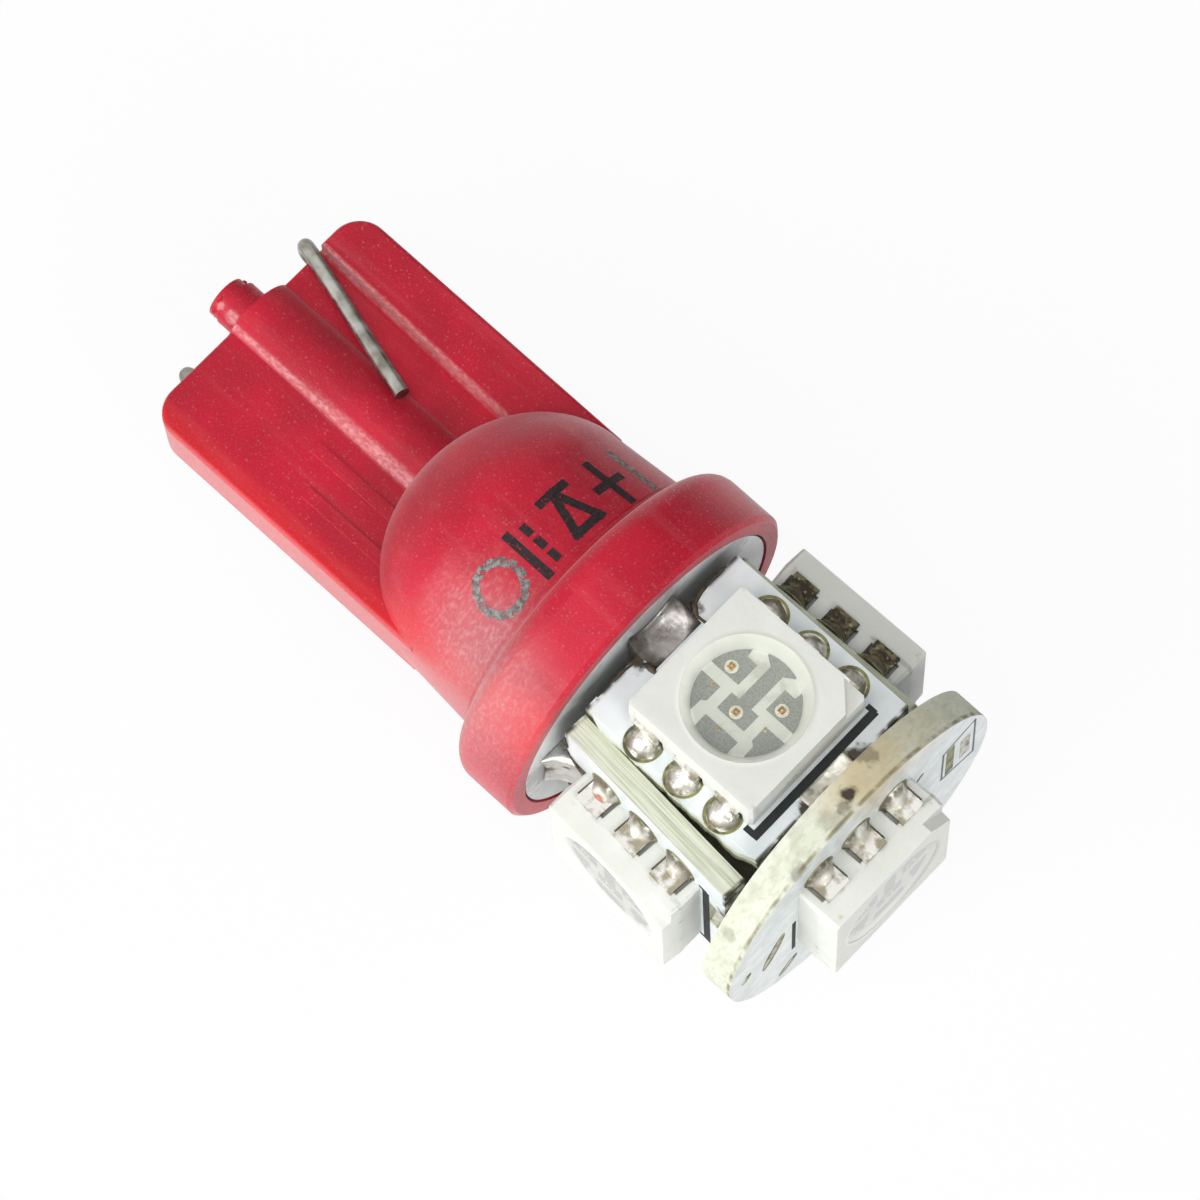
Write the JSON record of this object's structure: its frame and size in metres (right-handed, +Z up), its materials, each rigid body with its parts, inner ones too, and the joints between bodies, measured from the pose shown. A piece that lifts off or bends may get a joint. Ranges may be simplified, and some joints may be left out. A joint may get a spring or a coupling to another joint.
{
  "type": "led bulb",
  "caption": "Capless wedge-base automotive bulb: red moulded blade with folded contact wires, domed body and collar, and a square tower of white boards carrying side and end emitters.",
  "frame": {"origin": "on the surface the bulb lies on, under the centre of its box", "axes": "+X along the bulb's axis from the blade to the end emitter, +Z up towards the front emitter, +Y across"},
  "size_m": [0.028, 0.0118, 0.0119],
  "materials": {
    "red_moulding": "fine matte",
    "tinned_wire": "dull tinned",
    "circuit_board": "white solder mask, fibrous yellow-green edges",
    "emitter_housing": "satin",
    "lead_frame": "dull silver plate",
    "emitter_chip": "golden",
    "clear_resin": "clear, flat",
    "solder": "bright solder",
    "resistor_body": "lacquer"
  },
  "bodies": {
    "root": {"bottom_board": "circuit_board", "contact_wire_back": "tinned_wire", "contact_wire_front": "tinned_wire", "emitter_back_chips": "emitter_chip", "emitter_back_housing": "emitter_housing", "emitter_back_leads": "lead_frame", "emitter_back_resin": "clear_resin", "emitter_back_solder": "solder", "emitter_front_chips": "emitter_chip", "emitter_front_housing": "emitter_housing", "emitter_front_leads": "lead_frame", "emitter_front_resin": "clear_resin", "emitter_front_solder": "solder", "emitter_left_chips": "emitter_chip", "emitter_left_housing": "emitter_housing", "emitter_left_leads": "lead_frame", "emitter_left_resin": "clear_resin", "emitter_left_solder": "solder", "emitter_right_chips": "emitter_chip", "emitter_right_housing": "emitter_housing", "emitter_right_leads": "lead_frame", "emitter_right_resin": "clear_resin", "emitter_right_solder": "solder", "emitter_top_chips": "emitter_chip", "emitter_top_housing": "emitter_housing", "emitter_top_leads": "lead_frame", "emitter_top_resin": "clear_resin", "emitter_top_solder": "solder", "lower_joint_back": "solder", "lower_joint_front": "solder", "lower_joint_left": "solder", "lower_joint_right": "solder", "resistor_lead": "tinned_wire", "series_resistor": "resistor_body", "side_board_back": "circuit_board", "side_board_front": "circuit_board", "side_board_left": "circuit_board", "side_board_right": "circuit_board", "top_board": "circuit_board", "upper_joint_back": "solder", "upper_joint_front": "solder", "upper_joint_left": "solder", "upper_joint_right": "solder", "wedge_base": "red_moulding", "wire_joints": "solder"}
  },
  "joints": []
}
